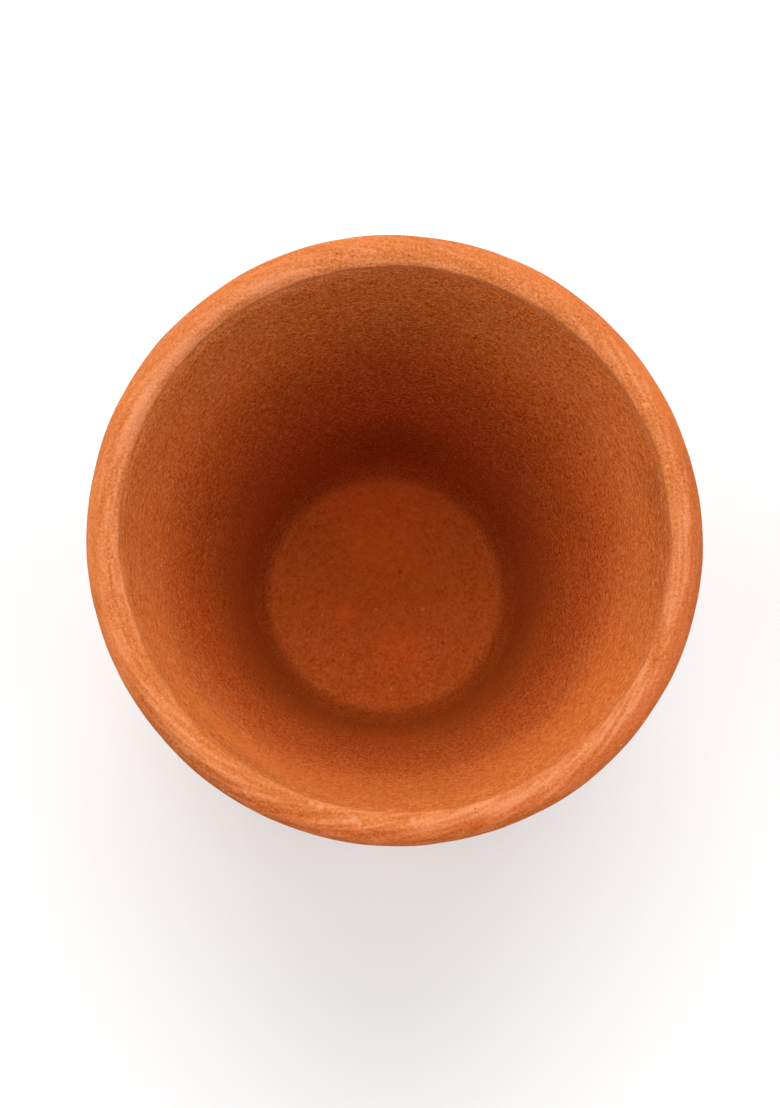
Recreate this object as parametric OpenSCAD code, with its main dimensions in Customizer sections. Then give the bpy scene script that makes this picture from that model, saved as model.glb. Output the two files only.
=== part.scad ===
// Clay kulhad cup: a small tapered tea cup of plain unglazed terracotta,
// with a thick floor, a wall that thins towards the top and a rolled lip.
// The real cup is thrown in one piece. Its base, wall and rim are three
// solids here, which meet face to face on level planes.
// The origin is the centre of the underside, and +Z is up the cup's axis.

/* [Cup] */
// Overall height, from the underside to the crest of the lip
cup_h = 82; // [66:1:110]
// Outer diameter, at the widest part of the lip
lip_d = 80; // [66:1:100]
// Diameter of the underside, as far as its edge would reach if left sharp
foot_d = 51; // [40:1:60]

/* [Base] */
// Thickness of the floor
floor_t = 6; // [4:0.1:9]
// Radius of the soft corner between the floor and the wall, inside the cup
corner_r = 3.4; // [2:0.1:6]
// Height of plain wall that belongs to the base, above the soft corner
base_rise = 2.6; // [1:0.1:6]
// Radius of the worn edge round the underside
foot_edge = 1.1; // [0.5:0.1:2.5]

/* [Wall] */
// Thickness of the wall at the level of the underside, straight across
wall_foot_t = 6; // [4:0.1:7.5]
// Thickness of the wall where it meets the lip, straight across
wall_top_t = 4.2; // [3:0.1:5.5]
// How far the wall swells out from a straight taper, at half its height
wall_swell = 0.7; // [0:0.1:3]

/* [Rim] */
// Height of the rim, from the top of the wall to the crest of the lip
rim_h = 8; // [6:0.1:12]
// Width of the lip, from its inner edge to its widest part
lip_t = 4.3; // [3:0.1:6]
// Distance of the crest from the lip's inner edge
crest_in = 1.75; // [1:0.05:2.5]
// How far the lip stands out beyond the top of the wall
lip_roll = 1.4; // [0.4:0.1:2.5]
// Drop from the crest of the lip to its widest part
lip_drop = 2.1; // [1.5:0.1:4.5]
// Radius of the lip's inner edge, which is the sharpest part of the rim
lip_edge_r = 0.4; // [0.2:0.05:1]
// Slope of the lip's top where it reaches the inner edge, in degrees
edge_slope = 33; // [20:1:50]

/* [Hidden] */

// Sides of the turned shapes, and flats along the round parts of an outline
turn_sides = 144;
arc_steps = 10;
wall_steps = 12;

// Levels where the three solids meet
base_h = floor_t + corner_r + base_rise;
neck_z = cup_h - rim_h;

// Radii of the cup outside, at its foot, under the lip and at the lip
foot_r = foot_d / 2;
lip_r = lip_d / 2;
neck_r = lip_r - lip_roll;

// The lip's top falls gently from the crest to the inner edge, on an arc of top_r
mouth_r = lip_r - lip_t;
crest_r = mouth_r + crest_in;
top_r = lip_edge_r + (crest_in - lip_edge_r) / sin(edge_slope);
edge_centre = [mouth_r + lip_edge_r, cup_h - top_r + (top_r - lip_edge_r) * cos(edge_slope)];
widest_z = cup_h - lip_drop;

// Value between two others, at a share of the way
function between(a, b, share) = a + (b - a) * share;

// Outer radius, thickness and inner radius of the wall at a height
function outer_r(z) = between(foot_r, neck_r, z / neck_z) + wall_swell * sin(180 * z / neck_z);
function wall_t(z) = between(wall_foot_t, wall_top_t, z / neck_z);
function inner_r(z) = outer_r(z) - wall_t(z);

// Heights from one level to another, in equal steps
function levels(low, high, steps) = [for (i = [0 : steps]) between(low, high, i / steps)];

// Quarter of an ellipse, or a part of one, as points. With first = 1 it leaves out its own
// start, where the outline already has a point
function arc(centre, radii, from, to, first = 0) =
    [for (i = [first : arc_steps]) let (a = between(from, to, i / arc_steps))
        [centre.x + radii.x * cos(a), centre.y + radii.y * sin(a)]];

// Point of the lip's lower flank, at a share of the way from the neck to the widest part
function flank(share) = [between(neck_r, lip_r, pow(sin(90 * share), 2)), between(neck_z, widest_z, share)];

// Inside the base the wall runs straight, so the corner is a true tangent arc
wall_lean = atan2(inner_r(base_h) - inner_r(0), base_h);
corner_z = floor_t + corner_r;
corner_x = between(inner_r(0), inner_r(base_h), corner_z / base_h) - corner_r / cos(wall_lean);

// Solid of revolution about the cup's axis
module turned(outline) {
    rotate_extrude($fn = turn_sides)
        polygon(outline);
}

// Floor with its soft inner corner, round foot edge and the lowest wall
module base() {
    foot_in = foot_r - foot_edge;
    edge_radii = [outer_r(foot_edge) - foot_in, foot_edge];
    outline = concat(
        [[0, 0]],
        arc([foot_in, foot_edge], edge_radii, -90, 0),
        [[outer_r(base_h), base_h], [inner_r(base_h), base_h]],
        arc([corner_x, corner_z], [corner_r, corner_r], -wall_lean, -90),
        [[0, floor_t]]
    );
    color("#A85A2C")
        turned(outline);
}

// Tapered wall, from the base up to the neck under the lip
module wall() {
    outline = concat(
        [for (z = levels(base_h, neck_z, wall_steps)) [outer_r(z), z]],
        [for (z = levels(neck_z, base_h, wall_steps)) [inner_r(z), z]]
    );
    color("#BC6734")
        turned(outline);
}

// Rolled lip: it swells out from the neck, and its gentle top ends in a crisp inner edge
module rim() {
    outline = concat(
        [[inner_r(neck_z), neck_z]],
        [for (i = [0 : arc_steps - 1]) flank(i / arc_steps)],
        arc([crest_r, widest_z], [lip_r - crest_r, lip_drop], 0, 90),
        arc([crest_r, cup_h - top_r], [top_r, top_r], 90, 90 + edge_slope, 1),
        arc(edge_centre, [lip_edge_r, lip_edge_r], 90 + edge_slope, 180, 1)
    );
    color("#DD8A58")
        turned(outline);
}

base();
wall();
rim();
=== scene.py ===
"""Clay kulhad cup: the finish of the thrown clay, its sand and its studio."""

import math
from types import SimpleNamespace

import bmesh
import bpy
from bpy.props import EnumProperty, FloatProperty, FloatVectorProperty, IntProperty, PointerProperty
from mathutils import Matrix, Vector


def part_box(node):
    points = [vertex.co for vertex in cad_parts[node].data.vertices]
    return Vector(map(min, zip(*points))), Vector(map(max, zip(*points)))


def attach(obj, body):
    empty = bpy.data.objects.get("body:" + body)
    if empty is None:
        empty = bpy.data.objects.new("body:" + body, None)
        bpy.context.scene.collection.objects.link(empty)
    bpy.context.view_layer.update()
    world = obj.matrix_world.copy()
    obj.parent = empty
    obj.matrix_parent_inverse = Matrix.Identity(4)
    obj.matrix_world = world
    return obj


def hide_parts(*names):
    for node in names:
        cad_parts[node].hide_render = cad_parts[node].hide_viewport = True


bl_info = {
    "name": "Clay Kulhad Cup",
    "version": (1, 0, 0),
    "blender": (4, 5, 0),
    "location": "View3D > Sidebar > Kulhad",
    "description": "Throws a small unglazed terracotta cup and sets it in a soft white studio",
    "category": "Add Mesh",
}

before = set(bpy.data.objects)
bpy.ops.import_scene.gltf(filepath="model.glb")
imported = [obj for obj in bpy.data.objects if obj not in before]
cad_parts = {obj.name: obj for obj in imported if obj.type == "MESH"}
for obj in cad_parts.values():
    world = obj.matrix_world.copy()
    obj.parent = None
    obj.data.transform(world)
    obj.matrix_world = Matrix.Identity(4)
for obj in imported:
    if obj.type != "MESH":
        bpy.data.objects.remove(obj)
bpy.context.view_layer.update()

MM = 0.001
BASE_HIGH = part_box("base")[1]
RIM_LOW, RIM_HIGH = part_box("rim")

GEOMETRY = "NodeSocketGeometry"
FLOAT = "NodeSocketFloat"
INTEGER = "NodeSocketInt"
VECTOR = "NodeSocketVector"
MATERIAL = "NodeSocketMaterial"

# Order of the three sections in the thrown body's face attribute
SECTIONS = ("base", "wall", "rim")
SECTION_MARK = "section"
NORMAL_MARK = "clay_normal"
CAP_MARK = "cap"

# Marks on this cup, each with its centre and radius in millimetres. Some are painted shade or light, as
# noted
CENTRE_PIT = ((2.4, 3.7, 6.0), 0.6)
LIP_DENT = ((-5.4, -36.9, 81.9), 0.8)
FLOOR_PORES = (
    ((2.4, 3.7, 5.8), 0.42), ((-11.9, -10.9, 6.0), 0.3), ((-8.4, -10.9, 6.0), 0.26),
    ((9.4, -7.9, 6.0), 0.3))
LARGE_SAND = (
    ((-10.3, -3.4, 6.0), 0.22), ((-1.5, -2.5, 6.0), 0.2), ((6.2, -2.4, 6.0), 0.28),
    ((7.0, -7.1, 6.0), 0.2), ((1.0, -15.4, 6.0), 0.2), ((-6.8, -9.9, 6.0), 0.18),
    ((32.6, 17.0, 81.6), 0.45), ((35.3, 8.9, 81.5), 0.35), ((-0.4, 35.9, 81.3), 0.3))
RED_PATCHES = (((2.4, -9.2, 6.0), 3.8), ((-6.5, -3.4, 6.0), 1.5))
# Painted shade: darker patches low on the far wall and on the outer lip at the right and near left, where
# less light falls
PAINTED_SHADE_PATCHES = (((0, 21, 16), 9), ((39, 1, 81), 12), ((-25.5, -29.5, 81), 8))
# Painted light: a lighter patch on the floor's far side, where the far wall shades it
PAINTED_LIGHT_PATCHES = (((0, 14, 6), 9),)
BLOOM_SPOTS = (
    ((-5.4, -36.5, 81.9), 0.5), ((-6.4, -36.9, 81.9), 0.35), ((-4.6, -37.1, 81.9), 0.3),
    ((2.2, -36.7, 81.9), 0.4), ((-9.6, -34.9, 81.9), 0.45), ((-10.7, -34.4, 81.9), 0.35))

# Distance under which points count as one, in millimetres
TINY = 0.01

# Sizes of the clay's fine patterns, in millimetres
GRAIN_SIZE = 0.32
MOTTLE_SIZE = 0.6
BLOTCH_SIZE = 1.3
RAGGED_SIZE = 0.7
DRAG_WIDTH = 0.30
LINE_WIDTH = 0.55
SPECK_CELL = 1.5
SPECK_SIZE = 0.14

# Scales of the slower noise and of the sand, in cells on a metre
SWAY_SCALE = 45
FOLD_SCALE = 60
LUMP_SCALE = 70
PATCH_SCALE = 75
EDGE_SCALE = 170
SAND_TINT_SCALE = 800
SANDY_SCALE = 900

# Depths and widths of the clay's relief, in millimetres
SANDY_DEPTH = 0.025
PIT_DEPTH = 0.3
DENT_DEPTH = 0.16
FOLD_WIDTH = 0.24
FOLD_DEPTH = 0.016
FOLD_SWAY = 0.1
FOLD_IN = 0.7
WORN_REACH = 1.0
WORN_DEPTH = 0.4
WORN_CENTRE = 0.9
GRAIN_RELIEF = 0.16
DRAG_RELIEF = 0.08

# Lines on the lip, in millimetres: a line of bloom just inside the crest and a painted highlight just
# outside the inner edge, and how far slow patches push the second aside
CREST_LINE_IN = 0.35
CREST_LINE_WIDTH = 0.8
EDGE_LINE_OUT = 0.35
EDGE_LINE_WIDTH = 0.13
EDGE_LINE_SWAY = 0.6

# Where the lip turns from orange to pale, to both sides of its diagonal, and how far slow patches
# and its inner half move that, in millimetres
# The pale side is the one that the light falls on: its paleness is painted light, over slow patches of the
# clay's own tone
PALE_TURN = 35
PATCHES_TURN = 40
INNER_TURN = 75

# Point under the foot that the string was pulled out to, in millimetres
STRING_PULL = (31, -12)

# How the lip's inner edge wanders, in millimetres: waves in one turn with their reach, a small
# shift inwards, its raggedness, how much further in it stands at its worn upper left and on the
# near side, and how far the whole lip rises and falls
EDGE_WAVES = ((1, -0.16), (2, -0.08), (3, 0.08))
EDGE_SHIFT = 0.03
EDGE_RAGGED = 0.3
WORN_SHIFT = 0.4
NEAR_SHIFT = 0.25
EDGE_RISE = 0.06

# Where the relief fades in, in millimetres from the height or radius that it is measured from
FADES = {
    "inside": (0.4, -0.4),
    "fingers_over_neck": (2, -4),
    "fingers_over_foot": (1, 6),
    "underside": (0.3, 0),
    "string_edge": (24.2, 22.5),
    "foot": (0.9, 0.2),
    "fold": (6, 7),
    "mouth": (-6, 6),
    "inner_edge": (0.6, -1.2),
    "wiped_lip": (0, 2),
}

# Sand that stands out of the clay: the lowest it sits and how far down the lip was wiped, in
# millimetres, how much of it the wiping took off, and its sides as shares of its length
SAND_LEVEL = 1.5
WIPED_REACH = 3
WIPED_SHARE = 0.5
SAND_SIDE_SHARES = (1.0, 0.8, 0.6)

# How far the inside leans out as it rises
INSIDE_TAPER = 0.19

# Zones of the clay's finish: the measure that each follows, and where it starts and where it is
# full, in millimetres
ZONES = {
    "near_side": ("y", 20, -20),
    "near_half": ("y", 24, -4),
    "far_edge": ("y", 28, 34),
    "right_lip": ("x", 10, 30),
    "right_wall": ("x", 18, 32),
    "sides": ("off_middle", 26, 38),
    "lip": ("depth", 3.2, 0.8),
    "inner_lip": ("off_crest", 1.2, -0.6),
    "outer_half": ("off_crest", 0, 1.5),
    "above_foot": ("z", 3, 4.5),
    "floor_disc": ("radius", 20, 18),
    "floor_level": ("z", 7.6, 6.6),
    "off_centre": ("radius", 5, 12),
    "inside": ("off_taper", 21.6, 20.8),
    "low": ("z", 34, 14),
    "high": ("z", 48, 66),
    "mouth": ("z", 50, 68),
    # Painted light: from here up, the inside is painted lighter towards the mouth
    "pale": ("z", 40, 72),
}

# How strongly each thing shows in the zones. The strengths in one row are added up, where plain
# is the whole cup, and the rows of one thing are multiplied
STRENGTHS = {
    "softening": ({"near_half": 0.10, "near_top": 0.15, "near_low": 0.3}, {"walls": 1}),
    "sand": (
        {"plain": 1, "lip": -0.62, "far_inner_lip": 0.14, "floor": -0.70, "deep": -0.35, "outer_wall": -0.7},
        {"plain": 1.06, "softened": -1, "calm_wall": -0.14, "calm_lip": -0.2}),
    "drag": (
        {"plain": 1, "floor": -1, "floor_ring": 0.38},
        {"plain": 1, "deep": -0.6},
        {"plain": 1, "near_top": 0.14, "near_low": -0.2},
        {"plain": 1, "lip": -0.7},
        {"plain": 1, "outer_wall": -0.5}),
    "grain_tone": ({"plain": 0.85},),
    "drag_tone": ({"plain": 0.42},),
    "line_tone": (
        {"plain": 0.10, "lip": 0.08, "near_lip": 0.16, "outer_wall": 0.06},
        {"plain": 1, "calm_lip": -0.7}),
    "mottle_tone": ({"floor": 0.08, "floor_ring": 0.24},),
    "blotch_tone": ({"floor": 0.2},),
    "all_tones": ({"plain": 0.54, "floor": -0.04, "near_top": -0.10, "side_lip": -0.12},),
    "greying": ({"plain": 0.54, "floor": -0.1},),
    # Painted shade: the body is darker low down inside the cup
    "body": ({"plain": 1, "deep": -0.14},),
    "patches": ({"plain": 0.14, "outer_wall": 0.08},),
    "lip_patches": ({"plain": 0.1},),
    "red_patches": ({"plain": 0.6},),
    # Painted shade in those patches, off the lip but on its outer half
    "painted_shade_patches": ({"plain": 0.16, "lip": -0.16, "outer_lip": 0.16},),
    # Painted light in that patch on the floor
    "painted_light_patches": ({"plain": 0.24},),
    "heads": ({"plain": 0.42}, {"plain": 1, "outer_wall": -0.5}),
    "crest_bloom": ({"plain": 0.65, "near_side": -0.15}, {"lip": 1}),
    "spot_bloom": ({"plain": 0.7},),
    "fleck_bloom": ({"lip": 0.55},),
    # Painted highlight: a thin light line along the lip's far inner edge
    "painted_edge_highlight": ({"far_edge": 0.8}, {"lip": 1}),
    "sand_specks": ({"plain": 0.6},),
    "pore_specks": ({"plain": 0.8},),
    "large_sand": ({"plain": 0.7, "lip": -0.35},),
    "pores": ({"plain": 0.7, "floor": -0.3},),
    "line_relief": ({"plain": 0.012, "lip": 0.02, "near_lip": 0.04}, {"plain": 1, "calm_lip": -0.7}),
}


# Sizes and colours


def length(label, description, value):
    """A size in metres that the sidebar shows in the scene's units."""
    return FloatProperty(
        name=label, description=description, default=value, min=0, unit="LENGTH", precision=5)


def colour(label, description, value):
    """A colour for the sidebar, without alpha."""
    return FloatVectorProperty(
        name=label, description=description, default=value, subtype="COLOR", min=0, max=1)


def power(label, description, value):
    """A light's power for the sidebar."""
    return FloatProperty(name=label, description=description, default=value, min=0, unit="POWER")


def location(label, description, millimetres):
    """A point in space for the sidebar, given in millimetres."""
    return FloatVectorProperty(
        name=label, description=description, default=[value * MM for value in millimetres],
        subtype="TRANSLATION")


class KulhadSizes(bpy.types.PropertyGroup):
    """The cup's half-section. What the frame holds is read from it."""

    height: length("Height", "From the underside to the crest of the lip", RIM_HIGH.z)
    lip_radius: length("Lip radius", "To the widest part of the lip", RIM_HIGH.x)
    base_height: length("Base height", "Level where the base meets the wall", BASE_HIGH.z)
    neck_height: length("Neck height", "Level where the wall meets the lip", RIM_LOW.z)
    foot_radius: length("Foot radius", "Radius of the underside if its edge were sharp", 25.5 * MM)
    foot_edge: length("Foot edge", "Radius of the worn edge round the underside", 1.1 * MM)
    floor: length("Floor", "Thickness of the floor", 6 * MM)
    corner: length("Corner", "Radius of the soft corner between floor and wall", 3.4 * MM)
    wall_foot: length("Wall at the foot", "Thickness of the wall at the underside's level", 6 * MM)
    wall_top: length("Wall at the neck", "Thickness of the wall under the lip", 4.2 * MM)
    swell: length("Swell", "How far the wall swells out of a straight taper", 0.7 * MM)
    lip_width: length("Lip width", "From the lip's inner edge to its widest part", 4.3 * MM)
    crest_in: length("Crest", "From the lip's inner edge to its crest", 1.75 * MM)
    lip_roll: length("Lip roll", "How far the lip stands out beyond the neck", 1.4 * MM)
    lip_drop: length("Lip drop", "From the crest down to the lip's widest part", 2.1 * MM)
    lip_edge: length("Lip edge", "Radius of the lip's inner edge", 0.4 * MM)
    edge_slope: FloatProperty(
        name="Edge slope", description="Slope of the lip's top at its inner edge", subtype="ANGLE",
        default=math.radians(33))
    ring_gap: length("Ring gap", "Distance between the rings of points in the mesh", 0.52 * MM)
    lip_ring_gap: length("Ring gap on the lip", "The same over the lip, whose edge is crisp", 0.16 * MM)
    quarter_points: IntProperty(
        name="Points in a quarter", description="Points round a quarter turn", default=96)


class KulhadClay(bpy.types.PropertyGroup):
    """Relief and colours of the fired clay, some with painted shade and light."""

    ring_depth: length("Throwing depth", "Depth of the spiral that the fingers leave outside", 0.10 * MM)
    ring_pitch: length("Throwing pitch", "Rise of that spiral in one turn", 5.2 * MM)
    line_depth: length("Line depth", "Depth of the fine turning lines", 0.05 * MM)
    lump_depth: length("Lump depth", "Depth of the slow unevenness of the wall", 0.22 * MM)
    cut_depth: length("Cut depth", "Depth of the string's marks under the foot", 0.22 * MM)
    cut_pitch: length("Cut pitch", "Distance between the string's marks", 1.7 * MM)
    oval: length("Oval", "How far the lip is out of round", 0.15 * MM)
    # Painted shade and light: the clay inside is darker and redder low down and lighter towards the mouth,
    # as the light reaches it
    clay: colour("Clay", "Fired clay towards the mouth", (0.568, 0.1405, 0.0265))
    shaded_low_clay: colour("Low clay", "Fired clay low down, where it is redder", (0.510, 0.096, 0.0110))
    # Painted light: the floor clay is lighter than the wall's, as more light falls on the floor; the fingers
    # also pressed it smooth
    lit_floor_clay: colour("Floor clay", "Clay that the fingers pressed smooth", (0.72, 0.165, 0.025))
    red_patch: colour("Red patches", "Patches on the floor that fired redder", (0.90, 0.180, 0.022))
    lip_clay: colour("Lip clay", "Clay outside and on the lip's paler side", (0.505, 0.146, 0.040))
    lip_orange: colour("Orange lip clay", "Wiped clay of the lip, on its richer side", (0.495, 0.121, 0.030))
    # This pale colour also paints a highlight along the lip's far inner edge
    bloom: colour("Bloom", "Pale bloom where the lip is worn", (0.60, 0.236, 0.112))
    # Painted shade: the pores are painted dark where their depth would be in shade
    painted_pore_shade: colour("Pore", "Dark inside of the pores", (0.10, 0.022, 0.008))
    pale_sand: colour("Pale sand", "Single large grains that show in the clay", (0.95, 0.40, 0.10))
    sand: colour("Sand", "Pale sand grains in the clay", (0.64, 0.29, 0.12))
    grit_count: FloatProperty(
        name="Grit", description="Sand grains on a square metre of clay", default=16000)
    seed: IntProperty(name="Seed", description="Fixes every random draw", default=7)


class KulhadStudio(bpy.types.PropertyGroup):
    """Table, light and camera."""

    table: colour("Table", "Plain pale table", (0.73, 0.73, 0.73))
    table_size: length("Table size", "Side of the table", 4)
    sky: FloatProperty(name="Sky", description="Strength of the even light all round", default=0.52)
    back_power: power("Back box", "Large soft box behind the cup", 7.4)
    top_power: power("Top box", "Smaller soft box over the cup, a little behind it", 2.2)
    left_power: power("Left box", "Large soft box on the left", 7.2)
    right_power: power("Right box", "Large soft box on the right", 5.8)
    camera_place: location("Camera place", "Where the camera hangs over the cup", (-6.46, -36.80, 362.0))
    camera_aim: location("Camera aim", "Point on the lip's plane that it looks at", (-0.75, -2.64, 82))
    focal_length: FloatProperty(name="Focal length", description="In millimetres", default=71.2)


# Node trees


def operator(operation, swapped=False):
    """A method that puts a field and another value through a math node."""
    def method(self, other):
        first, second = (other, self) if swapped else (self, other)
        return self.graph.math(operation, first, second)
    return method


class Field:
    """A node's output that can stand in a sum, so that a node tree reads like a formula."""

    def __init__(self, graph, socket):
        self.graph = graph
        self.socket = socket

    __add__ = __radd__ = operator("ADD")
    __sub__ = operator("SUBTRACT")
    __rsub__ = operator("SUBTRACT", swapped=True)
    __mul__ = __rmul__ = operator("MULTIPLY")
    __truediv__ = operator("DIVIDE")
    __rtruediv__ = operator("DIVIDE", swapped=True)
    __gt__ = operator("GREATER_THAN")
    __lt__ = operator("LESS_THAN")


class Graph:
    """Adds nodes to a tree and links them."""

    def __init__(self, tree):
        self.tree = tree

    def feed(self, socket, value):
        """Links a field to a socket, or sets a constant on it."""
        if isinstance(value, Field):
            self.tree.links.new(value.socket, socket)
        else:
            socket.default_value = value

    def fill(self, node, inputs):
        """Feeds a node's inputs, each by its name or number."""
        for key, value in inputs.items():
            self.feed(node.inputs[key], value)

    def node(self, kind, inputs=None, **settings):
        made = self.tree.nodes.new(kind)
        for name, value in settings.items():
            setattr(made, name, value)
        self.fill(made, inputs or {})
        return made

    def field(self, kind, inputs=None, output=0, **settings):
        return Field(self, self.node(kind, inputs, **settings).outputs[output])

    def group(self, tree, inputs):
        """Places a node group in this tree."""
        made = self.node(self.tree.bl_idname.replace("Tree", "Group"), inputs, node_tree=tree)
        return {socket.name: Field(self, socket) for socket in made.outputs}

    def math(self, operation, *values):
        return self.field("ShaderNodeMath", dict(enumerate(values)), operation=operation)

    def vector(self, x, y, z):
        return self.field("ShaderNodeCombineXYZ", {"X": x, "Y": y, "Z": z})

    def split(self, vector):
        parts = self.node("ShaderNodeSeparateXYZ", {"Vector": vector})
        return [Field(self, socket) for socket in parts.outputs]

    def ramp(self, value, start, full):
        """Rises smoothly from 0 to 1 while value goes from start to full."""
        inputs = {"Value": value, "From Min": start, "From Max": full}
        return self.field("ShaderNodeMapRange", inputs, interpolation_type="SMOOTHSTEP")

    def bell(self, offset):
        """1 where the offset is zero, falling away softly on both sides."""
        return self.math("EXPONENT", offset * offset * -1)

    def waves(self, angle, count, phase):
        """The cosine of so many waves in one turn, with their phase in degrees."""
        return self.math("COSINE", angle * count + math.radians(phase))

    def noise(self, vector, scale, detail, w=None, roughness=0.5):
        """Noise about zero, from -1 to 1, with a fourth dimension where w is given."""
        inputs = {"Vector": vector, "Scale": scale, "Detail": detail, "Roughness": roughness}
        if w is not None:
            inputs["W"] = w
        kind = "3D" if w is None else "4D"
        return self.field("ShaderNodeTexNoise", inputs, noise_dimensions=kind) * 2 - 1

    def mix(self, share, first, second):
        """Goes from the first colour to the second."""
        ends = [end if isinstance(end, Field) else (*end, 1) for end in (first, second)]
        return self.field("ShaderNodeMix", {0: share, 6: ends[0], 7: ends[1]}, 2, data_type="RGBA")

    def scaled(self, vector, factor):
        return self.field("ShaderNodeVectorMath", {0: vector, "Scale": factor}, operation="SCALE")

    def added(self, first, second):
        """Sum of two colours, nowhere below black."""
        total = self.field("ShaderNodeVectorMath", {0: first, 1: second}, operation="ADD")
        return self.field("ShaderNodeVectorMath", {0: total, 1: (0, 0, 0)}, operation="MAXIMUM")

    def greyed(self, colour_field, gamma):
        """The colour drawn towards grey. Near a half, its parts are about the same step to the eye."""
        return self.field("ShaderNodeGamma", {"Color": colour_field, "Gamma": gamma})

    def largest(self, *values):
        """The largest of several fields, taken two by two."""
        left = list(values)
        while len(left) > 1:
            left.append(self.math("MAXIMUM", left.pop(0), left.pop(0)))
        return left[0]


class GroupGraph(Graph):
    """The graph of a new node group with named inputs and outputs."""

    def __init__(self, name, kind, inputs, outputs):
        super().__init__(bpy.data.node_groups.new(name, kind))
        for label, socket_type, value in inputs:
            item = self.tree.interface.new_socket(label, in_out="INPUT", socket_type=socket_type)
            if value is not None:
                item.default_value = value
        for label, socket_type in outputs:
            self.tree.interface.new_socket(label, in_out="OUTPUT", socket_type=socket_type)
        self.entry = self.tree.nodes.new("NodeGroupInput")
        self.exit = self.tree.nodes.new("NodeGroupOutput")

    def given(self, label):
        return Field(self, self.entry.outputs[label])

    def give(self, label, value):
        self.feed(self.exit.inputs[label], value)


def polar(graph, place):
    """Radius, angle and height of a point about the cup's axis, with the angle's cosine and sine."""
    x, y, z = graph.split(place)
    radius = graph.math("SQRT", x * x + y * y)
    near_axis = graph.math("MAXIMUM", radius, TINY * MM)
    return radius, graph.math("ARCTAN2", y, x), z, x / near_axis, y / near_axis


def spots(graph, place, marks, ragged, softness=0.4):
    """1 within the marks and 0 outside them, with soft edges that the ragged noise wears."""
    masks = []
    for (x, y, z), radius in marks:
        away = graph.field(
            "ShaderNodeVectorMath", {0: place, 1: (x * MM, y * MM, z * MM)}, "Value", operation="DISTANCE")
        worn = away + ragged * (0.45 * radius * MM)
        masks.append(graph.ramp(worn, radius * (1 + softness) * MM, radius * (1 - softness) * MM))
    return graph.largest(*masks)


def add_object(name, data):
    """A new object that is linked to the scene."""
    made = bpy.data.objects.new(name, data)
    bpy.context.scene.collection.objects.link(made)
    return made


# The thrown body


def between(a, b, share):
    return a + (b - a) * share


def arc(centre, radii, start, end, steps=24):
    """Points on an ellipse from one angle to another, in degrees."""
    angles = [math.radians(between(start, end, i / steps)) for i in range(steps + 1)]
    return [(centre[0] + radii[0] * math.cos(a), centre[1] + radii[1] * math.sin(a)) for a in angles]


def half_section(size, steps=40):
    """The cup's half-section as five open lines of (radius, height), from the foot round to the floor."""
    neck_radius = size.lip_radius - size.lip_roll
    mouth = size.lip_radius - size.lip_width
    crest = mouth + size.crest_in
    top = size.lip_edge + (size.crest_in - size.lip_edge) / math.sin(size.edge_slope)
    edge = (mouth + size.lip_edge, size.height - top + (top - size.lip_edge) * math.cos(size.edge_slope))
    slope = math.degrees(size.edge_slope)
    widest = size.height - size.lip_drop

    def outer(z):
        share = z / size.neck_height
        return between(size.foot_radius, neck_radius, share) + size.swell * math.sin(math.pi * share)

    def inner(z):
        return outer(z) - between(size.wall_foot, size.wall_top, z / size.neck_height)

    def flank(share):
        rise = math.sin(share * math.pi / 2) ** 2
        return (between(neck_radius, size.lip_radius, rise), between(size.neck_height, widest, share))

    lean = math.atan2(inner(size.base_height) - inner(0), size.base_height)
    corner_z = size.floor + size.corner
    straight = between(inner(0), inner(size.base_height), corner_z / size.base_height)
    corner = (straight - size.corner / math.cos(lean), corner_z)
    foot_in = size.foot_radius - size.foot_edge
    levels = [between(size.base_height, size.neck_height, i / steps) for i in range(steps + 1)]
    foot = arc((foot_in, size.foot_edge), (outer(size.foot_edge) - foot_in, size.foot_edge), -90, 0)
    foot.append((outer(size.base_height), size.base_height))
    outside = [(outer(z), z) for z in levels]
    lip = [flank(i / steps) for i in range(steps)]
    lip += arc((crest, widest), (size.lip_radius - crest, size.lip_drop), 0, 90)
    lip += arc((crest, size.height - top), (top, top), 90, 90 + slope)[1:]
    lip += arc(edge, (size.lip_edge, size.lip_edge), 90 + slope, 180)[1:]
    lip.append((inner(size.neck_height), size.neck_height))
    inside = [(inner(z), z) for z in reversed(levels)]
    floor = [(inner(size.base_height), size.base_height)]
    floor += arc(corner, (size.corner, size.corner), -math.degrees(lean), -90)
    return [foot, outside, lip, inside, floor]


def section_curve(lines):
    """The half-section as an upright curve object, radius along X and height along Z."""
    curve = bpy.data.curves.new("half_section", "CURVE")
    curve.dimensions = "3D"
    for line in lines:
        spline = curve.splines.new("POLY")
        spline.points.add(len(line) - 1)
        for point, (radius, height) in zip(spline.points, line):
            point.co = (radius, 0, height, 1)
    return add_object("half_section", curve)


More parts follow.
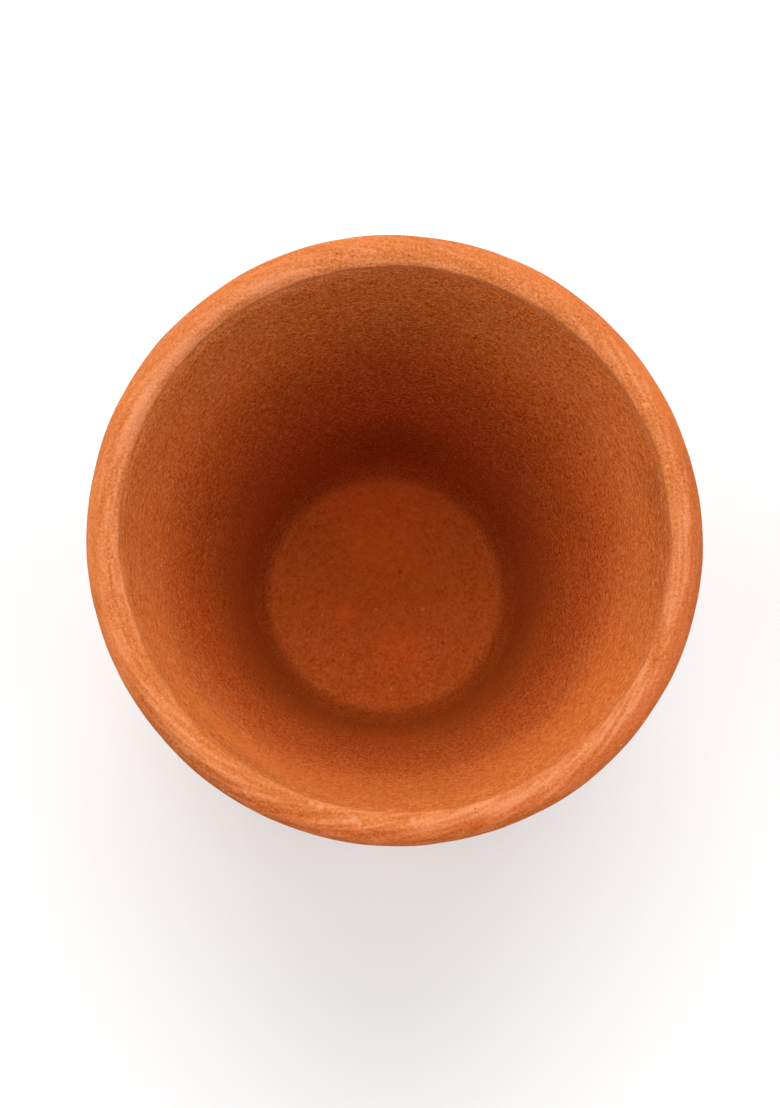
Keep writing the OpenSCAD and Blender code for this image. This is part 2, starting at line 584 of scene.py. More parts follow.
def disc_tree():
    """Node group: a flat disc of even quads.

    A square grid's rings become circles with equal steps round them.
    """
    graph = GroupGraph(
        "Round disc", "GeometryNodeTree",
        [("Radius", FLOAT, 0.02), ("Height", FLOAT, 0.0), ("Points on a side", INTEGER, 24)],
        [("Mesh", GEOMETRY)])
    points = graph.given("Points on a side") + 1
    grid = graph.field(
        "GeometryNodeMeshGrid", {"Size X": 2, "Size Y": 2, "Vertices X": points, "Vertices Y": points})
    x, y, _ = graph.split(graph.field("GeometryNodeInputPosition"))
    reach = graph.math("MAXIMUM", graph.math("ABSOLUTE", x), graph.math("ABSOLUTE", y))
    ring = reach * graph.given("Radius")
    around = graph.math("ARCTAN2", y, x)
    quarter = graph.math("ROUND", around / (math.pi / 2)) * (math.pi / 2)
    turn = quarter + graph.math("TANGENT", around - quarter) * (math.pi / 4)
    place = graph.vector(
        ring * graph.math("COSINE", turn), ring * graph.math("SINE", turn), graph.given("Height"))
    graph.give("Mesh", graph.field("GeometryNodeSetPosition", {"Geometry": grid, "Position": place}))
    return graph.tree


# Inputs that the relief and the thrown body share
RELIEF_INPUTS = (
    ("Neck height", FLOAT, 0.074), ("Middle at the foot", FLOAT, 0.0225),
    ("Middle at the neck", FLOAT, 0.0365), ("Fold radius", FLOAT, 0.0365),
    ("Edge radius", FLOAT, 0.0357), ("Edge level", FLOAT, 0.081),
    ("Throwing depth", FLOAT, 0.0001), ("Throwing pitch", FLOAT, 0.005), ("Line depth", FLOAT, 0.00005),
    ("Lump depth", FLOAT, 0.0002), ("Cut depth", FLOAT, 0.0002), ("Cut pitch", FLOAT, 0.0017),
    ("Seed", FLOAT, 7.0))


def fade(name, origin=0):
    """Where the relief begins to fade in and where it is full, from a height or radius."""
    start, full = FADES[name]
    return origin + start * MM, origin + full * MM


def worn_side(graph, along, across):
    """1 towards the upper left of the photo's view, where the lip's inner edge is worn round."""
    return graph.ramp(across - along, 0.85, 1.35)


def relief_tree():
    """Node group: height of the clay's relief over its smooth surface, at a place."""
    graph = GroupGraph(
        "Thrown relief", "GeometryNodeTree", (("Place", VECTOR, None), *RELIEF_INPUTS), [("Height", FLOAT)])
    place = graph.given("Place")
    seed = graph.given("Seed")
    radius, angle, z, along, across = polar(graph, place)
    neck = graph.given("Neck height")
    foot_middle = graph.given("Middle at the foot")
    middle = foot_middle + (graph.given("Middle at the neck") - foot_middle) * z / neck
    inside = graph.ramp(radius, *fade("inside", middle))

    # Spiral of the fingers: plain outside, faint inside, and fading out on the lip
    sway = graph.noise(place, SWAY_SCALE, 1, seed)
    turns = z / graph.given("Throwing pitch") * (2 * math.pi) + angle + sway * 2.6
    on_wall = graph.ramp(z, *fade("fingers_over_neck", neck)) * graph.ramp(z, *fade("fingers_over_foot"))
    fingers = graph.math("SINE", turns) * (1 + sway) * on_wall * graph.given("Throwing depth")
    fingers = fingers * (1 - inside * 0.75)

    # Fine turning lines: noise that is long round the cup and short across the lines
    stretched = graph.vector(along * 3, across * 3, z * SANDY_SCALE)
    lines = graph.noise(stretched, 1, 2, radius * SANDY_SCALE + seed) * graph.given("Line depth")

    lumps = graph.noise(place, LUMP_SCALE, 2, seed + 3) * graph.given("Lump depth")
    sandy = graph.noise(place, SANDY_SCALE, 2, seed + 5) * SANDY_DEPTH * MM

    # String marks: rings round a point off to one side, where the string was pulled out
    under = graph.ramp(z, *fade("underside")) * graph.ramp(radius, *fade("string_edge"))
    x, y, _ = graph.split(place)
    pull_x = x - STRING_PULL[0] * MM
    pull_y = y - STRING_PULL[1] * MM
    pull = graph.math("SQRT", pull_x * pull_x + pull_y * pull_y)
    ripple = graph.math("SINE", pull / graph.given("Cut pitch") * (2 * math.pi) + sway * 2.5)
    cut = (ripple * 0.5 - 0.5) * graph.given("Cut depth") * under
    off_foot = 1 - graph.ramp(z, *fade("foot"))

    # Pit in the floor and dent in the lip
    ragged = graph.noise(place, 1 / (RAGGED_SIZE * MM), 1, seed)
    pits = spots(graph, place, [CENTRE_PIT], ragged) * PIT_DEPTH * MM
    pits = pits + spots(graph, place, [LIP_DENT], ragged, 0.7) * DENT_DEPTH * MM

    # Thin fold along the lip's far side, just outside its inner edge
    fold_sway = graph.noise(place, FOLD_SCALE, 1, seed + 8) * FOLD_SWAY * MM
    off_fold = (radius - graph.given("Fold radius") + fold_sway) / (FOLD_WIDTH * MM)
    folded = graph.ramp(across, 0.6, 0.95) * graph.ramp(z, *fade("fold", neck))
    fold = graph.bell(off_fold) * folded * FOLD_DEPTH * MM

    # The lip's inner edge is worn round on one side
    edge_x = radius - graph.given("Edge radius")
    edge_z = z - graph.given("Edge level")
    off_edge = (edge_x * edge_x + edge_z * edge_z) / (WORN_REACH * MM) ** 2
    wear = graph.math("EXPONENT", off_edge * -1) * worn_side(graph, along, across) * WORN_DEPTH * MM
    graph.give("Height", (fingers + lines + lumps + sandy) * off_foot + cut - pits - fold - wear)
    return graph.tree


def thrown_clay_tree(disc, relief):
    """Turns the half-section round the axis, closes it with two discs and lays the relief over it."""
    graph = GroupGraph(
        "Thrown clay", "GeometryNodeTree",
        [("Geometry", GEOMETRY, None), ("Points in a quarter", INTEGER, 96), ("Ring gap", FLOAT, 0.0005),
         ("Ring gap on the lip", FLOAT, 0.0002), ("Floor radius", FLOAT, 0.018),
         ("Floor height", FLOAT, 0.006), ("Foot radius", FLOAT, 0.024), ("Base height", FLOAT, 0.012),
         ("Height", FLOAT, 0.082), ("Crest radius", FLOAT, 0.0372), ("Oval", FLOAT, 0.00015),
         *RELIEF_INPUTS, ("Material", MATERIAL, None)],
        [("Geometry", GEOMETRY)])
    quarter = graph.given("Points in a quarter")
    neck = graph.given("Neck height")

    # Rings of points stand closer together on the lip
    level = graph.split(graph.field("GeometryNodeInputPosition"))[2]
    gap = graph.field("GeometryNodeSwitch", {
        "Switch": level > neck, "False": graph.given("Ring gap"),
        "True": graph.given("Ring gap on the lip")}, input_type="FLOAT")
    rings = graph.field(
        "GeometryNodeResampleCurve", {"Curve": graph.given("Geometry"), "Length": gap}, mode="LENGTH")
    lying = graph.field("GeometryNodeTransform", {"Geometry": rings, "Rotation": (math.pi / 2, 0, 0)})
    axis = graph.field("GeometryNodeCurvePrimitiveCircle", {"Resolution": quarter * 4, "Radius": 1e-6})
    swept = graph.field("GeometryNodeCurveToMesh", {"Curve": axis, "Profile Curve": lying})
    turned = graph.field("GeometryNodeFlipFaces", {"Mesh": swept})
    floor = graph.group(disc, {
        "Radius": graph.given("Floor radius"), "Height": graph.given("Floor height"),
        "Points on a side": quarter})
    foot = graph.group(disc, {
        "Radius": graph.given("Foot radius"), "Height": 0.0, "Points on a side": quarter})
    under = graph.field("GeometryNodeFlipFaces", {"Mesh": foot["Mesh"]})
    joined = graph.node("GeometryNodeJoinGeometry")
    for part in (turned, floor["Mesh"], under):
        graph.tree.links.new(part.socket, joined.inputs["Geometry"])
    merged = graph.field(
        "GeometryNodeMergeByDistance", {"Geometry": Field(graph, joined.outputs[0]), "Distance": TINY * MM})

    # Number of each face's section, and the clay's relief
    place = graph.field("GeometryNodeInputPosition")
    radius, angle, z, along, across = polar(graph, place)
    number = (z > graph.given("Base height")) + (z > neck)
    marked = graph.field(
        "GeometryNodeStoreNamedAttribute", {"Geometry": merged, "Name": SECTION_MARK, "Value": number},
        data_type="INT", domain="FACE")
    passed_on = {label: graph.given(label) for label, _, _ in RELIEF_INPUTS}
    laid = graph.group(relief, {"Place": place, **passed_on})
    push = graph.scaled(graph.field("GeometryNodeInputNormal"), laid["Height"])
    rough = graph.field("GeometryNodeSetPosition", {"Geometry": marked, "Offset": push})

    # Out of round: the lip is a slight oval, and the inner edge wanders on its own
    up = z / graph.given("Height")
    oval = graph.waves(angle, 2, 90) * up * up * graph.given("Oval")
    near_mouth = graph.ramp(z, *fade("mouth", neck))
    inner_side = graph.ramp(radius, *fade("inner_edge", graph.given("Crest radius")))
    wander = sum(graph.math("SINE", angle * count) * reach for count, reach in EDGE_WAVES)
    wander = wander - EDGE_SHIFT + graph.noise(place, EDGE_SCALE, 3, 11.0) * EDGE_RAGGED
    wander = wander - worn_side(graph, along, across) * WORN_SHIFT
    wander = wander - graph.ramp(across * -1 - along * 0.5, 0.5, 1.0) * NEAR_SHIFT
    out = oval + wander * MM * near_mouth * inner_side
    rise = graph.math("COSINE", angle * 3 + 1.1) * EDGE_RISE * MM * near_mouth
    shift = graph.vector(along * out, across * out, rise)
    bent = graph.field("GeometryNodeSetPosition", {"Geometry": rough, "Offset": shift})
    smooth = graph.field("GeometryNodeSetShadeSmooth", {"Geometry": bent})
    finish_tree(graph, smooth)
    return graph.tree


def finish_tree(graph, geometry):
    """Ends a tree with real geometry in the material that the tree was given."""
    real = graph.field("GeometryNodeRealizeInstances", {"Geometry": geometry})
    graph.give("Geometry", graph.field(
        "GeometryNodeSetMaterial", {"Geometry": real, "Material": graph.given("Material")}))


def grown_mesh(host, tree, values, name):
    """The host with a node tree on it as a plain mesh. The host is removed."""
    modifier = host.modifiers.new(tree.name, "NODES")
    modifier.node_group = tree
    identifiers = {
        item.name: item.identifier for item in tree.interface.items_tree if item.in_out == "INPUT"}
    for label, value in values.items():
        modifier[identifiers[label]] = value
    ready = host.evaluated_get(bpy.context.evaluated_depsgraph_get())
    mesh = bpy.data.meshes.new_from_object(ready)
    mesh.name = name
    bpy.data.objects.remove(host)
    return mesh


def throw_body(size, clay, material):
    """The whole thrown body as one closed mesh."""
    lines = half_section(size)
    mouth = size.lip_radius - size.lip_width
    neck_outer = size.lip_radius - size.lip_roll
    values = {
        "Points in a quarter": size.quarter_points, "Ring gap": size.ring_gap,
        "Ring gap on the lip": size.lip_ring_gap, "Foot radius": lines[0][0][0],
        "Floor radius": lines[-1][-1][0], "Floor height": size.floor, "Base height": size.base_height,
        "Neck height": size.neck_height, "Height": size.height, "Crest radius": mouth + size.crest_in,
        "Middle at the foot": size.foot_radius - size.wall_foot / 2,
        "Middle at the neck": neck_outer - size.wall_top / 2, "Fold radius": mouth + FOLD_IN * MM,
        "Edge radius": mouth, "Edge level": size.height - WORN_CENTRE * MM, "Oval": clay.oval,
        "Throwing depth": clay.ring_depth, "Throwing pitch": clay.ring_pitch,
        "Line depth": clay.line_depth, "Lump depth": clay.lump_depth, "Cut depth": clay.cut_depth,
        "Cut pitch": clay.cut_pitch, "Seed": float(clay.seed), "Material": material}
    tree = thrown_clay_tree(disc_tree(), relief_tree())
    return grown_mesh(section_curve(lines), tree, values, "thrown_body")


def cut_section(body, number, name):
    """One section of the thrown body as a closed mesh, with the whole body's normals along its cuts."""
    mesh_edit = bmesh.new()
    mesh_edit.from_mesh(body)
    normal_layer = mesh_edit.verts.layers.float_vector.new(NORMAL_MARK)
    mesh_edit.normal_update()
    for vertex in mesh_edit.verts:
        vertex[normal_layer] = vertex.normal
    section = mesh_edit.faces.layers.int[SECTION_MARK]
    others = [face for face in mesh_edit.faces if face[section] != number]
    bmesh.ops.delete(mesh_edit, geom=others, context="FACES")
    middle = sum(v.co.z for v in mesh_edit.verts) / len(mesh_edit.verts)
    open_edges = [edge for edge in mesh_edit.edges if edge.is_boundary]
    caps = set()
    for upper in (False, True):
        level = [edge for edge in open_edges if (edge.verts[0].co.z > middle) == upper]
        if level:
            caps.update(bmesh.ops.bridge_loops(mesh_edit, edges=level)["faces"])
    cap_layer = mesh_edit.faces.layers.int.new(CAP_MARK)
    for face in mesh_edit.faces:
        face.smooth = True
        face.material_index = 0
        face[cap_layer] = face in caps
    bmesh.ops.recalc_face_normals(mesh_edit, faces=mesh_edit.faces[:])
    mesh = bpy.data.meshes.new(name)
    mesh_edit.to_mesh(mesh)
    mesh_edit.free()
    mesh.materials.append(body.materials[-1])
    kept = mesh.attributes[NORMAL_MARK].data
    is_cap = mesh.attributes[CAP_MARK].data
    normals = []
    for polygon in mesh.polygons:
        for vertex in polygon.vertices:
            normals.append(polygon.normal if is_cap[polygon.index].value else kept[vertex].vector)
    mesh.normals_split_custom_set(normals)
    for mark in (NORMAL_MARK, CAP_MARK, SECTION_MARK):
        mesh.attributes.remove(mesh.attributes[mark])
    return mesh


# Materials


def new_material(name):
    """A new material with its graph and its Principled shader."""
    material = bpy.data.materials.new(name)
    material.use_nodes = True
    return material, Graph(material.node_tree), material.node_tree.nodes["Principled BSDF"]


def streak_group():
    """Node group: fine lines round the cup, as turning and wiping leave them."""
    graph = GroupGraph(
        "Wheel streaks", "ShaderNodeTree",
        [("Place", VECTOR, None), ("Line width", FLOAT, 0.0003), ("Breaks", FLOAT, 12.0),
         ("Seed", FLOAT, 0.0)],
        [("Tone", FLOAT)])
    radius, _, z, along, across = polar(graph, graph.given("Place"))
    across_scale = 1 / graph.given("Line width")
    breaks = graph.given("Breaks")
    stretched = graph.vector(along * breaks, across * breaks, z * across_scale)
    graph.give("Tone", graph.noise(stretched, 1, 0, radius * across_scale + graph.given("Seed")))
    return graph.tree


def speck_group():
    """Node group: round specks, one in each cell. Some are sand, some are pores, the rest are left out."""
    graph = GroupGraph(
        "Specks", "ShaderNodeTree",
        [("Place", VECTOR, None), ("Cell", FLOAT, 0.0016), ("Size", FLOAT, 0.00018), ("Share", FLOAT, 0.3)],
        [("Sand", FLOAT), ("Pores", FLOAT)])
    cell = graph.given("Cell")
    voronoi = graph.node("ShaderNodeTexVoronoi", {"Vector": graph.given("Place"), "Scale": 1 / cell})
    distance = Field(graph, voronoi.outputs["Distance"]) * cell
    chance, other, _ = graph.split(Field(graph, voronoi.outputs["Color"]))
    size = graph.given("Size") * (0.5 + other)
    mask = graph.ramp(distance, size * 1.2, size * 0.7)
    graph.give("Sand", mask * (chance < graph.given("Share")))
    graph.give("Pores", mask * (chance > 1 - graph.given("Share")))
    return graph.tree


def clay_measures(graph, size):
    """Where a point of the clay lies, and how far it is from the lines that the zones follow."""
    place = graph.field("ShaderNodeTexCoord", output="Object")
    radius, angle, z, along, _ = polar(graph, place)
    x, y, _ = graph.split(place)
    mouth = size.lip_radius - size.lip_width
    return SimpleNamespace(
        place=place, x=x, y=y, z=z, radius=radius, angle=angle, along=along,
        off_middle=graph.math("ABSOLUTE", x), depth=size.height - z,
        off_crest=radius - (mouth + size.crest_in), off_edge=radius - mouth,
        off_taper=radius - z * INSIDE_TAPER)


def strength(zones, thing):
    """How strongly a thing shows over the cup, from its rows in STRENGTHS."""
    return math.prod(
        sum(getattr(zones, name) * share for name, share in row.items()) for row in STRENGTHS[thing])


def clay_zones(graph, at):
    """Soft masks of the parts of the cup that differ in finish."""
    zones = SimpleNamespace(plain=1)
    for name, (measure, start, full) in ZONES.items():
        setattr(zones, name, graph.ramp(getattr(at, measure), start * MM, full * MM))
    off_lip = 1 - zones.lip
    zones.floor = zones.floor_disc * zones.floor_level * zones.above_foot
    zones.floor_ring = zones.off_centre * zones.floor
    zones.walls = (1 - zones.floor) * off_lip
    zones.deep = zones.low * (1 - zones.floor) * zones.inside * zones.above_foot
    zones.near_top = zones.near_half * zones.mouth * off_lip
    zones.near_low = zones.near_half * zones.deep
    zones.outer_wall = (1 - zones.inside) * off_lip
    zones.calm_wall = zones.high * zones.right_wall * off_lip
    zones.near_lip = zones.near_side * zones.lip
    zones.far_inner_lip = (1 - zones.near_side) * zones.inner_lip * zones.lip
    zones.outer_lip = zones.outer_half * zones.lip
    zones.calm_lip = zones.outer_lip * zones.right_lip
    zones.side_lip = zones.outer_lip * zones.sides
    zones.softened = strength(zones, "softening")
    return zones


def clay_patterns(graph, at, zones):
    """What shows on the clay: sand, mottling, slow patches, specks and the lines of the wheel."""
    streaks = streak_group()
    drag = graph.group(
        streaks, {"Place": at.place, "Line width": DRAG_WIDTH * MM, "Breaks": 48.0, "Seed": 2.0})
    lines = graph.group(
        streaks, {"Place": at.place, "Line width": LINE_WIDTH * MM, "Breaks": 6.0, "Seed": at.along * 14})
    specks = graph.group(
        speck_group(), {"Place": at.place, "Cell": SPECK_CELL * MM, "Size": SPECK_SIZE * MM, "Share": 0.3})
    return SimpleNamespace(
        grain=graph.noise(at.place, 1 / (GRAIN_SIZE * MM), 2, roughness=0.85),
        mottle=graph.noise(at.place, 1 / (MOTTLE_SIZE * MM), 1),
        blotches=graph.noise(at.place, 1 / (BLOTCH_SIZE * MM), 1),
        patches=graph.noise(at.place, PATCH_SCALE, 2),
        drag=drag["Tone"] * strength(zones, "drag"),
        lines=lines["Tone"],
        sand_share=strength(zones, "sand"),
        sand_specks=specks["Sand"],
        pore_specks=specks["Pores"])


def body_colour(graph, at, zones, patterns, clay):
    """The clay's colour, painted darker low in the cup and lighter towards the mouth and on the floor,
    redder in patches, wiped on the lip and painted paler on its lit side.
    """
    patches = patterns.patches
    # Painted shade and light: darker and redder low in the cup, lighter towards the mouth
    inside = graph.mix(zones.pale, clay.shaded_low_clay, clay.clay)
    walls = graph.mix(zones.outer_wall, inside, clay.lip_clay)
    blotched = graph.scaled(walls, 1 + patches * strength(zones, "patches"))
    # Painted light: the floor is lighter
    floored = graph.mix(zones.floor, blotched, clay.lit_floor_clay)
    red = spots(graph, at.place, RED_PATCHES, patches * 1.5, 0.5) * strength(zones, "red_patches")
    patched = graph.mix(red, floored, clay.red_patch)
    # Painted light: the lip is paler on its upper left side, where the light falls, over slow patches of its
    # own tone
    towards_pale = at.y - at.x + (patches * PATCHES_TURN + zones.inner_lip * INNER_TURN) * MM
    lit_pale_side = graph.ramp(towards_pale, -PALE_TURN * MM, PALE_TURN * MM)
    lip = graph.mix(lit_pale_side, clay.lip_orange, clay.lip_clay)
    wiped = graph.scaled(lip, 1 + patches * strength(zones, "lip_patches"))
    return graph.mix(zones.lip, patched, wiped)


def toned_colour(graph, at, zones, patterns, body):
    """The body's colour with painted shade and light, its sand and the lines of the wheel.

    Sand and lines are greyer than the clay: they shift all three colours by about as much to the eye.
    """
    sandiness = graph.ramp(patterns.grain, -0.42, 0.42) - 0.5
    tones = sandiness * patterns.sand_share * strength(zones, "grain_tone")
    for pattern, thing in (
            (patterns.drag, "drag_tone"), (patterns.lines, "line_tone"), (patterns.mottle, "mottle_tone"),
            (patterns.blotches, "blotch_tone")):
        tones = tones + pattern * strength(zones, thing)
    # Painted shade in patches low on the far wall and on the outer lip, and painted light in a patch on the
    # floor's far side
    dark = spots(graph, at.place, PAINTED_SHADE_PATCHES, patterns.patches, 0.6) * strength(zones, "painted_shade_patches")
    pale = spots(graph, at.place, PAINTED_LIGHT_PATCHES, patterns.patches, 0.6) * strength(zones, "painted_light_patches")
    shaded = graph.scaled(body, strength(zones, "body") - dark + pale)
    greyed = graph.greyed(body, strength(zones, "greying"))
    return graph.added(shaded, graph.scaled(greyed, tones * strength(zones, "all_tones")))


def bloom_and_highlight_share(graph, at, zones, patterns):
    """How much pale bloom lies on the lip, along its worn crest, in flecks and in spots, with a painted
    highlight along the far inner edge.
    """
    lines, grain, patches = patterns.lines, patterns.grain, patterns.patches
    off_line = (at.off_crest + CREST_LINE_IN * MM) / (CREST_LINE_WIDTH * MM)
    worn_sides = graph.waves(at.angle, 2, 72) * 0.4 - 0.05
    worn = graph.ramp(lines * 0.5 + grain * 0.5 + patches * 1.2 + worn_sides, -0.3, 0.7)
    fleck_sides = graph.waves(at.angle, 2, -120) * -0.12 + patches * 0.3
    flecks = graph.ramp(patterns.mottle * 0.7 + lines * 0.9 + fleck_sides, 0.22, 0.5)
    # Painted highlight: a thin broken light line just outside the lip's inner edge, on the far side
    off_edge = (at.off_edge - EDGE_LINE_OUT * MM + patches * EDGE_LINE_SWAY * MM) / (EDGE_LINE_WIDTH * MM)
    edge = graph.bell(off_edge) * graph.ramp(lines + grain, -0.4, 0.5)
    worn_spots = spots(graph, at.place, BLOOM_SPOTS, patterns.mottle, 0.6)
    return graph.largest(
        graph.bell(off_line) * worn * strength(zones, "crest_bloom"),
        worn_spots * strength(zones, "spot_bloom"),
        graph.bell(off_line * 0.5) * flecks * strength(zones, "fleck_bloom"),
        edge * strength(zones, "painted_edge_highlight"))


def clay_material(size, clay):
    """Fired terracotta: sandy and blotched, with turning lines, specks, pores and a worn pale lip, plus
    painted shade and light.
    """
    material, graph, shader = new_material("Fired terracotta")
    at = clay_measures(graph, size)
    zones = clay_zones(graph, at)
    patterns = clay_patterns(graph, at, zones)
    body = body_colour(graph, at, zones, patterns, clay)
    surface = toned_colour(graph, at, zones, patterns, body)

    # What lies on the clay, each over the last: heads of sand, bloom with a painted highlight on the lip's
    # far edge, specks, large grains and pores painted dark as their shade
    heads = graph.ramp(patterns.grain + patterns.drag * 0.5, -0.05, 0.6) * patterns.sand_share
    large_sand = spots(graph, at.place, LARGE_SAND, patterns.mottle)
    pores = graph.largest(
        patterns.pore_specks * strength(zones, "pore_specks"),
        spots(graph, at.place, FLOOR_PORES, patterns.mottle, 0.5))
    coats = (
        (heads * strength(zones, "heads"), clay.sand),
        (bloom_and_highlight_share(graph, at, zones, patterns), clay.bloom),
        (patterns.sand_specks * strength(zones, "sand_specks"), clay.sand),
        (large_sand * strength(zones, "large_sand"), clay.pale_sand),
        (pores * strength(zones, "pores"), clay.painted_pore_shade))
    for share, coat in coats:
        surface = graph.mix(share, surface, coat)

    relief = patterns.grain * patterns.sand_share * GRAIN_RELIEF + patterns.drag * DRAG_RELIEF
    relief = relief + patterns.lines * strength(zones, "line_relief")
    bump = graph.field("ShaderNodeBump", {"Height": relief * MM, "Strength": 1.0, "Distance": 1.0})
    graph.fill(shader, {
        "Base Color": surface, "Roughness": 0.9 + patterns.grain * 0.08 - zones.lip * 0.06,
        "Specular IOR Level": 0.08, "Diffuse Roughness": 0.3, "Normal": bump})
    return material


def sand_material(clay):
    """Pale quartz sand, each grain a little different."""
    material, graph, shader = new_material("Sand grains")
    place = graph.field("ShaderNodeTexCoord", output="Object")
    share = graph.ramp(graph.noise(place, SAND_TINT_SCALE, 1, 3.0), -0.4, 0.4)
    graph.fill(shader, {
        "Base Color": graph.mix(share, clay.clay, clay.sand), "Roughness": 0.55 + share * 0.2,
        "Specular IOR Level": 0.2})
    return material


def table_material(table_colour):
    """Plain matte table."""
    material, graph, shader = new_material("Pale table")
    graph.fill(shader, {
        "Base Color": (*table_colour, 1), "Roughness": 0.7, "Specular IOR Level": 0.2})
    return material


def scattered_sand_tree():
    """Scatters small flattened grains over a surface, each sunk to half its depth."""
    graph = GroupGraph(
        "Scattered sand", "GeometryNodeTree",
        [("Geometry", GEOMETRY, None), ("Density", FLOAT, 10000.0), ("Least size", FLOAT, 0.00006),
         ("Greatest size", FLOAT, 0.0002), ("Lip level", FLOAT, 0.079), ("Seed", INTEGER, 0),
         ("Material", MATERIAL, None)],
        [("Geometry", GEOMETRY)])
    seed = graph.given("Seed")
    z = graph.split(graph.field("GeometryNodeInputPosition"))[2]
    wiped_off = graph.ramp(z, *fade("wiped_lip", graph.given("Lip level"))) * WIPED_SHARE
    density = graph.given("Density") * (z > SAND_LEVEL * MM) * (1 - wiped_off)
    scatter = graph.field(
        "GeometryNodeDistributePointsOnFaces",
        {"Mesh": graph.given("Geometry"), "Density": density, "Seed": seed}, "Points")
    grain = graph.field("GeometryNodeMeshIcoSphere", {"Radius": 1.0, "Subdivisions": 1})
    chance = graph.field(
        "FunctionNodeRandomValue", {2: 0.0, 3: 1.0, "Seed": seed}, 1, data_type="FLOAT")
    least = graph.given("Least size")
    grain_size = least + (graph.given("Greatest size") - least) * graph.math("POWER", chance, 3.0)
    turn = graph.field(
        "FunctionNodeRandomValue", {0: (-math.pi,) * 3, 1: (math.pi,) * 3, "Seed": seed}, 0,
        data_type="FLOAT_VECTOR")
    grains = graph.field("GeometryNodeInstanceOnPoints", {
        "Points": scatter, "Instance": grain, "Rotation": turn,
        "Scale": graph.vector(*(grain_size * share for share in SAND_SIDE_SHARES))})
    finish_tree(graph, grains)
    return graph.tree


# Pieces and stage


def add_piece(name, mesh, replaced=()):
    """Links a finished mesh as a piece of the cup."""
    piece = add_object(name, mesh)
    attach(piece, "root")
    if replaced:
        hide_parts(*replaced)


def shared_material(name, make):
    """The material of that name, made the first time it is asked for."""
    return bpy.data.materials.get(name) or make()


class KULHAD_OT_throw_body(bpy.types.Operator):
    """Throw the whole body of clay, ready to be divided into its sections"""

    bl_idname = "kulhad.throw_body"
    bl_label = "Throw Body"

    def execute(self, context):
        size, clay = context.scene.kulhad_sizes, context.scene.kulhad_clay
        material = shared_material("Fired terracotta", lambda: clay_material(size, clay))
        throw_body(size, clay, material).use_fake_user = True
        return {"FINISHED"}


class KULHAD_OT_add_section(bpy.types.Operator):
    """Add the base, the wall or the rim, cut from the thrown body"""

    bl_idname = "kulhad.add_section"
    bl_label = "Add Section"

    section: EnumProperty(name="Section", items=[(name, name.title(), "") for name in SECTIONS])

    def execute(self, context):
        name = self.section + "_clay"
        mesh = cut_section(bpy.data.meshes["thrown_body"], SECTIONS.index(self.section), name)
        add_piece(name, mesh, [self.section])
        return {"FINISHED"}


class KULHAD_OT_add_sand(bpy.types.Operator):
    """Scatter the grains of sand that stand out of the clay"""

    bl_idname = "kulhad.add_sand"
    bl_label = "Add Sand"

    def execute(self, context):
        size, clay = context.scene.kulhad_sizes, context.scene.kulhad_clay
        host = add_object("sand_host", bpy.data.meshes["thrown_body"])
        values = {
            "Density": clay.grit_count, "Lip level": size.height - WIPED_REACH * MM, "Seed": clay.seed,
            "Material": shared_material("Sand grains", lambda: sand_material(clay))}
        mesh = grown_mesh(host, scattered_sand_tree(), values, "sand_grains")
        add_piece("sand_grains", mesh)
        return {"FINISHED"}


class KULHAD_OT_set_stage(bpy.types.Operator):
    """Set the pale table, the soft light and the camera"""

    bl_idname = "kulhad.set_stage"
    bl_label = "Set Stage"

    def execute(self, context):
        studio = context.scene.kulhad_studio
        add_table(studio)
        add_light(studio)
        add_camera(studio)
        context.scene.view_settings.view_transform = "Standard"
        return {"FINISHED"}


def add_table(studio):
    half = studio.table_size / 2
    mesh = bpy.data.meshes.new("table")
    corners = [(-half, -half, 0), (half, -half, 0), (half, half, 0), (-half, half, 0)]
    mesh.from_pydata(corners, [], [(0, 1, 2, 3)])
    mesh.materials.append(table_material(studio.table))
    table = add_object("table", mesh)


def add_light(studio):
    """An even sky and four soft boxes, each turned to the cup."""
    world = bpy.data.worlds.new("Studio sky")
    world.use_nodes = True
    background = world.node_tree.nodes["Background"]
    background.inputs["Color"].default_value = (1, 1, 1, 1)
    background.inputs["Strength"].default_value = studio.sky
    bpy.context.scene.world = world
    boxes = (
        ("back_box", (0, 0.8, 0.8), 1.0, studio.back_power),
        ("top_box", (0, 0.45, 0.78), 0.5, studio.top_power),
        ("left_box", (-0.8, 0, 0.8), 1.0, studio.left_power),
        ("right_box", (0.8, 0, 0.8), 1.0, studio.right_power))
    for name, place, side, energy in boxes:
        lamp = bpy.data.lights.new(name, "AREA")
        lamp.size = side
        lamp.energy = energy
        box = add_object(name, lamp)
        box.location = place
        box.rotation_euler = (-Vector(place)).to_track_quat("-Z", "Y").to_euler()


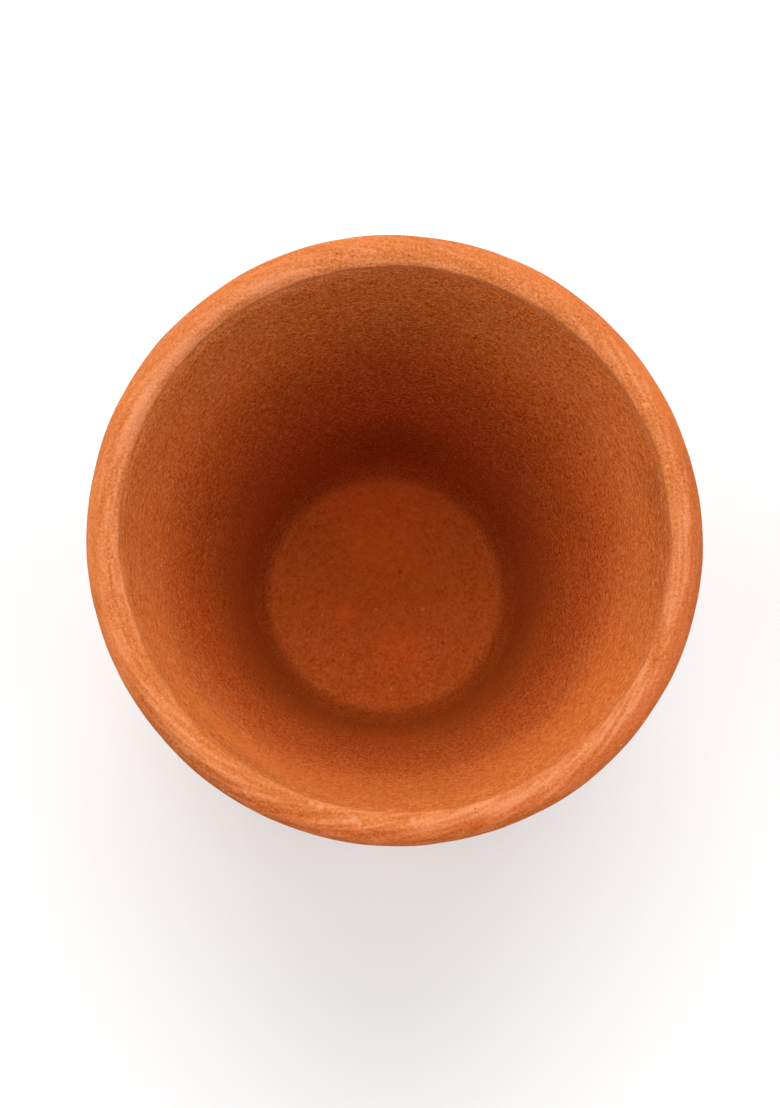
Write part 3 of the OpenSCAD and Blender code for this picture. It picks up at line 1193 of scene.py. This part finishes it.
def add_camera(studio):
    """The camera looks down into the cup, with +Y up in the picture."""
    camera_data = bpy.data.cameras.new("camera")
    camera_data.lens = studio.focal_length
    camera_data.clip_start = 1 * MM
    forward = (Vector(studio.camera_aim) - Vector(studio.camera_place)).normalized()
    right = forward.cross(Vector((0, 1, 0))).normalized()
    up = right.cross(forward)
    turn = Matrix((right, up, -forward)).transposed()
    camera = add_object("camera", camera_data)
    camera.matrix_world = Matrix.Translation(studio.camera_place) @ turn.to_4x4()
    bpy.context.scene.camera = camera


# Settings of the scene, each with the name that it has there
SETTINGS = {"kulhad_sizes": KulhadSizes, "kulhad_clay": KulhadClay, "kulhad_studio": KulhadStudio}


class KULHAD_PT_panel(bpy.types.Panel):
    """Sizes, clay and studio of the cup, with a button for each piece"""

    bl_idname = "KULHAD_PT_panel"
    bl_label = "Clay Kulhad Cup"
    bl_space_type = "VIEW_3D"
    bl_region_type = "UI"
    bl_category = "Kulhad"

    def draw(self, context):
        for setting in SETTINGS:
            group = getattr(context.scene, setting)
            box = self.layout.box()
            for name in group.bl_rna.properties.keys():
                if name not in ("rna_type", "name"):
                    box.prop(group, name)
        self.layout.operator("kulhad.throw_body")
        for name in SECTIONS:
            self.layout.operator("kulhad.add_section", text="Add " + name.title()).section = name
        self.layout.operator("kulhad.add_sand")
        self.layout.operator("kulhad.set_stage")


CLASSES = (
    *SETTINGS.values(), KULHAD_OT_throw_body, KULHAD_OT_add_section, KULHAD_OT_add_sand,
    KULHAD_OT_set_stage, KULHAD_PT_panel)


def register():
    for item in CLASSES:
        bpy.utils.register_class(item)
    for name, item in SETTINGS.items():
        setattr(bpy.types.Scene, name, PointerProperty(type=item))


def unregister():
    for name in SETTINGS:
        delattr(bpy.types.Scene, name)
    for item in reversed(CLASSES):
        bpy.utils.unregister_class(item)


def main():
    register()
    bpy.ops.kulhad.throw_body()
    for name in SECTIONS:
        bpy.ops.kulhad.add_section(section=name)
    bpy.ops.kulhad.add_sand()
    bpy.ops.kulhad.set_stage()


if __name__ == "__main__":
    main()
